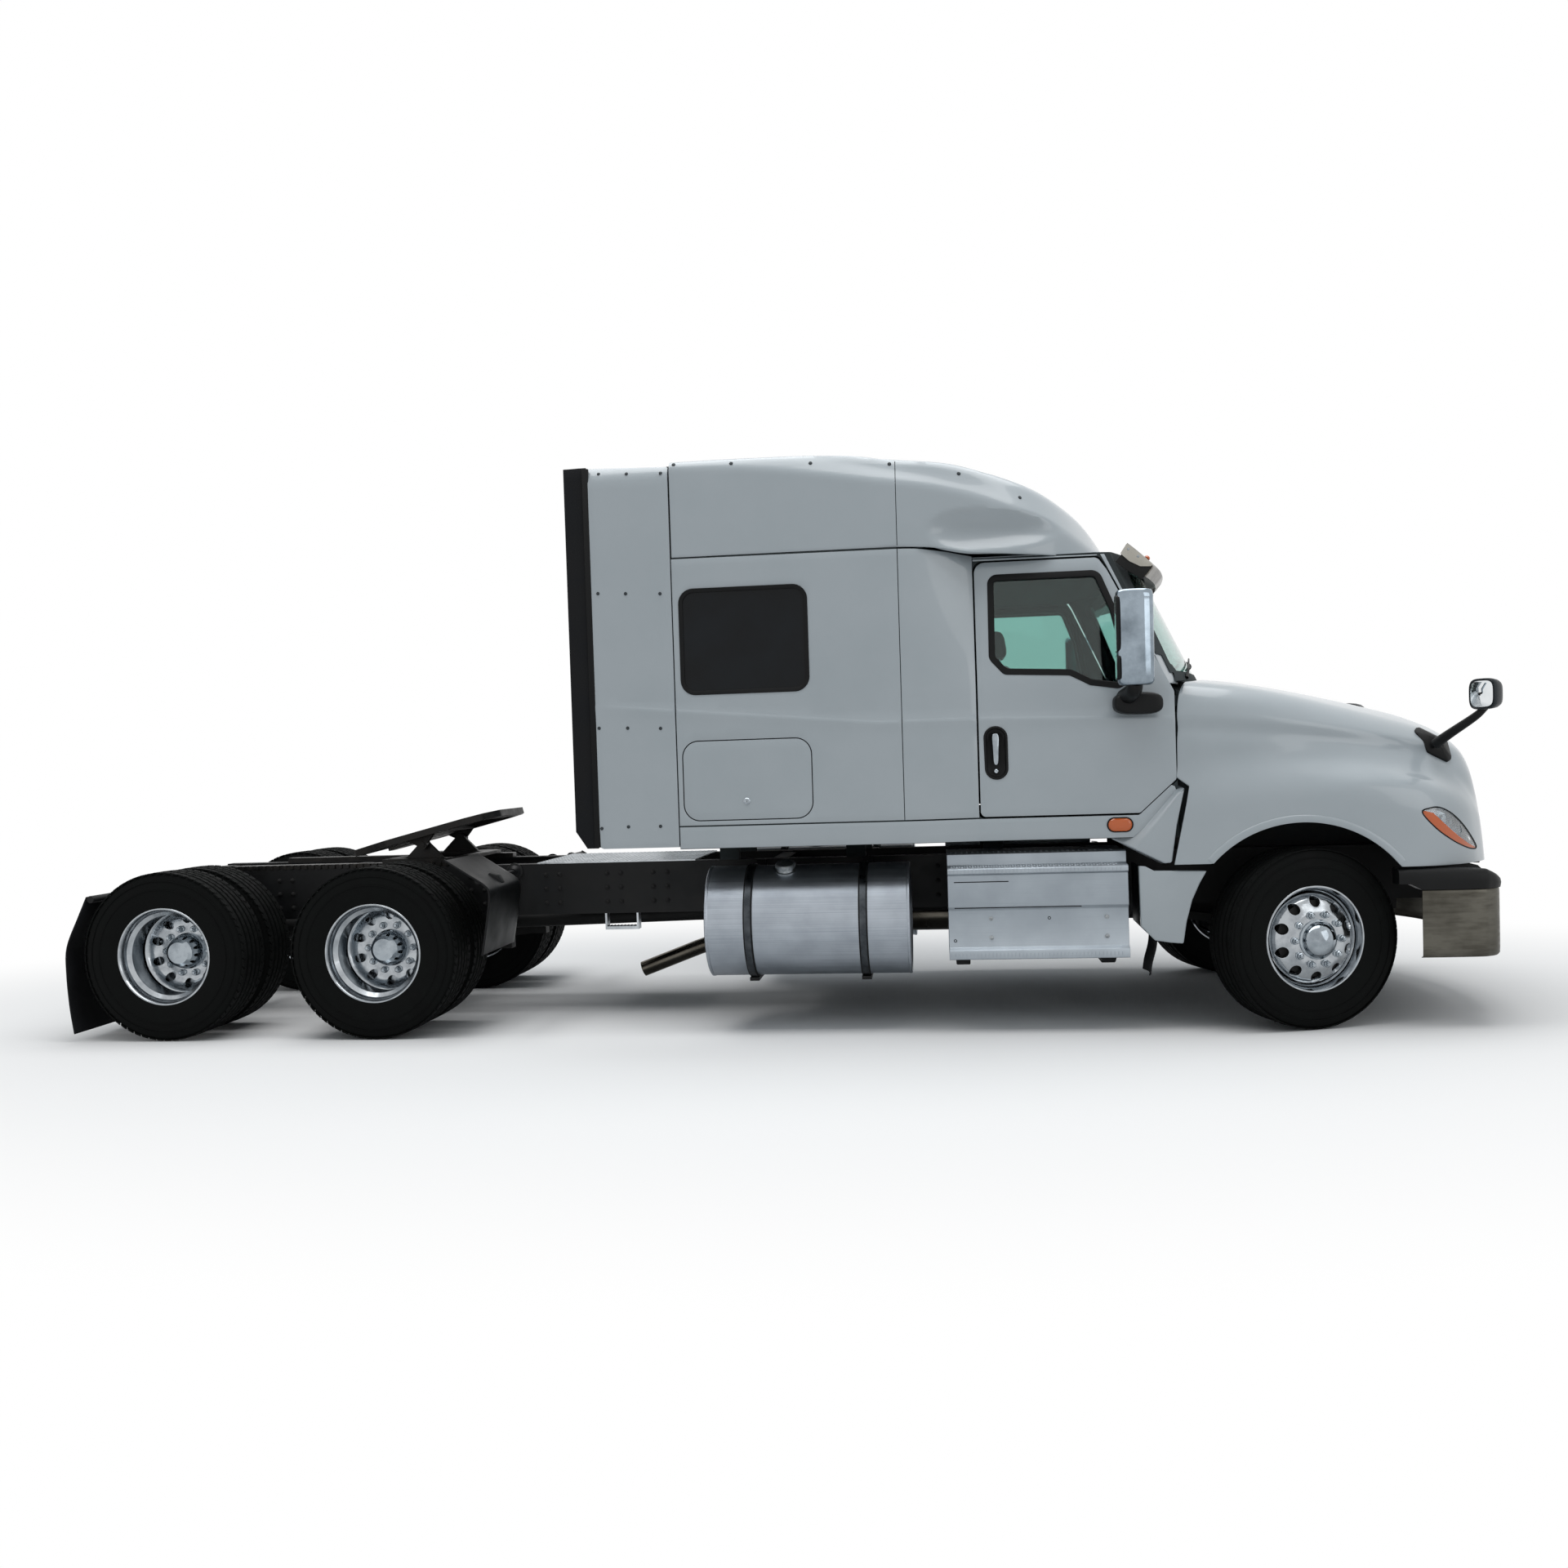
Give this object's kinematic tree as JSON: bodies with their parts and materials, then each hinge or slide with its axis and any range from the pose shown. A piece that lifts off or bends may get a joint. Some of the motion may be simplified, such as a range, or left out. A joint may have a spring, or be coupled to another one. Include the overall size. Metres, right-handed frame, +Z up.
{
  "type": "semi truck tractor unit",
  "caption": "Conventional sleeper-cab tractor unit with tandem drive axles, tilting hood, side doors, steered front wheels and a sliding fifth wheel.",
  "frame": {"origin": "on the ground, in the middle of the overall length and width", "axes": "+X forward, +Y to the vehicle's left, +Z up"},
  "size_m": [8.58, 3, 3.405],
  "materials": {
    "cab_paint": "gloss white enamel",
    "chassis_black": "satin black chassis enamel",
    "cast_axle": "painted cast iron",
    "engine_iron": "painted cast iron",
    "polished_aluminium": "polished forged aluminium",
    "brushed_aluminium": "brushed aluminium sheet",
    "steel_bright": "stainless steel",
    "tyre_rubber": "tyre rubber",
    "black_rubber": "moulded rubber",
    "black_plastic": "moulded black plastic",
    "glass": "tinted safety glass",
    "lamp_lens": "clear polycarbonate lens",
    "grille_plastic": "moulded grille",
    "seat_fabric": "woven seat cloth",
    "mattress_fabric": "mattress ticking",
    "greased_steel": "greased cast steel"
  },
  "bodies": {
    "chassis": {"frame": "chassis_black", "front_axle": "cast_axle", "drive_axles": "cast_axle", "springs_and_arms": "chassis_black", "air_springs": "black_rubber", "engine_and_radiator": "engine_iron", "exhaust": "steel_bright", "fuel_tanks": "brushed_aluminium", "tank_brackets": "chassis_black", "step_boxes": "brushed_aluminium", "deck_plate_and_step": "brushed_aluminium", "quarter_fenders": "black_plastic", "mud_flaps": "black_rubber", "skirts": "cab_paint", "bumper": "brushed_aluminium", "cab_shell": "cab_paint", "sleeper_shell": "cab_paint", "roof_cap": "cab_paint", "side_extenders": "cab_paint", "extender_flaps": "black_rubber", "sun_visor": "steel_bright", "fixed_glass": "glass", "dashboard": "black_plastic", "seats": "seat_fabric", "bunk_mattress": "mattress_fabric", "slide_track": "chassis_black"},
    "hood": {"hood": "cab_paint", "headlights": "lamp_lens", "grille": "grille_plastic", "hood_mirrors": "black_plastic"},
    "tie_rod": {"tie_rod": "chassis_black"},
    "fifth_wheel_base": {"fifth_wheel_base": "greased_steel"},
    "fifth_wheel_plate": {"fifth_wheel_plate": "greased_steel"},
    "door_right": {"door_right": "cab_paint", "door_glass_right": "glass", "door_mirror_right": "black_plastic"},
    "luggage_door_right": {"luggage_door_right": "cab_paint"},
    "knuckle_right": {"knuckle_right": "cast_axle"},
    "front_wheel_right": {"front_wheel_right": "polished_aluminium", "front_tyre_right": "tyre_rubber"},
    "drive_wheels_forward_right": {"drive_wheels_forward_right": "polished_aluminium", "drive_tyres_forward_right": "tyre_rubber"},
    "drive_wheels_rearward_right": {"drive_wheels_rearward_right": "polished_aluminium", "drive_tyres_rearward_right": "tyre_rubber"},
    "door_left": {"door_left": "cab_paint", "door_glass_left": "glass", "door_mirror_left": "black_plastic"},
    "luggage_door_left": {"luggage_door_left": "cab_paint"},
    "knuckle_left": {"knuckle_left": "cast_axle"},
    "front_wheel_left": {"front_wheel_left": "polished_aluminium", "front_tyre_left": "tyre_rubber"},
    "drive_wheels_forward_left": {"drive_wheels_forward_left": "polished_aluminium", "drive_tyres_forward_left": "tyre_rubber"},
    "drive_wheels_rearward_left": {"drive_wheels_rearward_left": "polished_aluminium", "drive_tyres_rearward_left": "tyre_rubber"}
  },
  "joints": [
    {"name": "steer_right", "type": "hinge", "parent": "chassis", "child": "knuckle_right", "pos_m": [3, -0.93, 0.505], "axis": [0, 0, 1], "range_deg": [-53, 19]},
    {"name": "steer_left", "type": "hinge", "parent": "chassis", "child": "knuckle_left", "pos_m": [3, 0.93, 0.505], "axis": [0, 0, 1], "range_deg": [-53, 19]},
    {"name": "tie_rod_end", "type": "hinge", "parent": "knuckle_right", "child": "tie_rod", "pos_m": [2.83743, -0.9797, 0.36], "axis": [0, 0, 1], "range_deg": [-19, 53]},
    {"name": "spin_front_right", "type": "hinge", "parent": "knuckle_right", "child": "front_wheel_right", "pos_m": [3, -0.93, 0.505], "axis": [-0.2924, 0.9563, 0], "continuous": true},
    {"name": "spin_drive_forward_right", "type": "hinge", "parent": "chassis", "child": "drive_wheels_forward_right", "pos_m": [-2.34, 0, 0.515], "axis": [0, 1, 0], "continuous": true},
    {"name": "spin_drive_rearward_right", "type": "hinge", "parent": "chassis", "child": "drive_wheels_rearward_right", "pos_m": [-3.66, 0, 0.515], "axis": [0, 1, 0], "continuous": true},
    {"name": "door_right_hinge", "type": "hinge", "parent": "chassis", "child": "door_right", "pos_m": [2.315, -1.11733, 1.68], "axis": [0, 0.0936, 0.9956], "range_deg": [0, 68]},
    {"name": "luggage_door_right_hinge", "type": "hinge", "parent": "chassis", "child": "luggage_door_right", "pos_m": [-0.058, -1.205, 1.723], "axis": [-1, 0, 0], "range_deg": [0, 85]},
    {"name": "spin_front_left", "type": "hinge", "parent": "knuckle_left", "child": "front_wheel_left", "pos_m": [3, 0.93, 0.505], "axis": [-0.2924, 0.9563, 0], "continuous": true},
    {"name": "spin_drive_forward_left", "type": "hinge", "parent": "chassis", "child": "drive_wheels_forward_left", "pos_m": [-2.34, 0, 0.515], "axis": [0, 1, 0], "continuous": true},
    {"name": "spin_drive_rearward_left", "type": "hinge", "parent": "chassis", "child": "drive_wheels_rearward_left", "pos_m": [-3.66, 0, 0.515], "axis": [0, 1, 0], "continuous": true},
    {"name": "door_left_hinge", "type": "hinge", "parent": "chassis", "child": "door_left", "pos_m": [2.315, 1.11733, 1.68], "axis": [0, 0.0936, -0.9956], "range_deg": [0, 68]},
    {"name": "luggage_door_left_hinge", "type": "hinge", "parent": "chassis", "child": "luggage_door_left", "pos_m": [-0.058, 1.205, 1.723], "axis": [1, 0, 0], "range_deg": [0, 85]},
    {"name": "hood_tilt", "type": "hinge", "parent": "chassis", "child": "hood", "pos_m": [4.19, 0, 0.812], "axis": [0, 1, 0], "range_deg": [0, 75]},
    {"name": "fifth_wheel_slide", "type": "slide", "parent": "chassis", "child": "fifth_wheel_base", "axis": [1, 0, 0], "range_m": [-0.6, 0.1]},
    {"name": "fifth_wheel_tilt", "type": "hinge", "parent": "fifth_wheel_base", "child": "fifth_wheel_plate", "pos_m": [-2.33, 0, 1.112], "axis": [0, 1, 0], "range_deg": [0, 21.8]}
  ],
  "couplings": [
    {"joint": "steer_left", "follows": "steer_right", "ratio": 1},
    {"joint": "tie_rod_end", "follows": "steer_right", "ratio": -1}
  ]
}
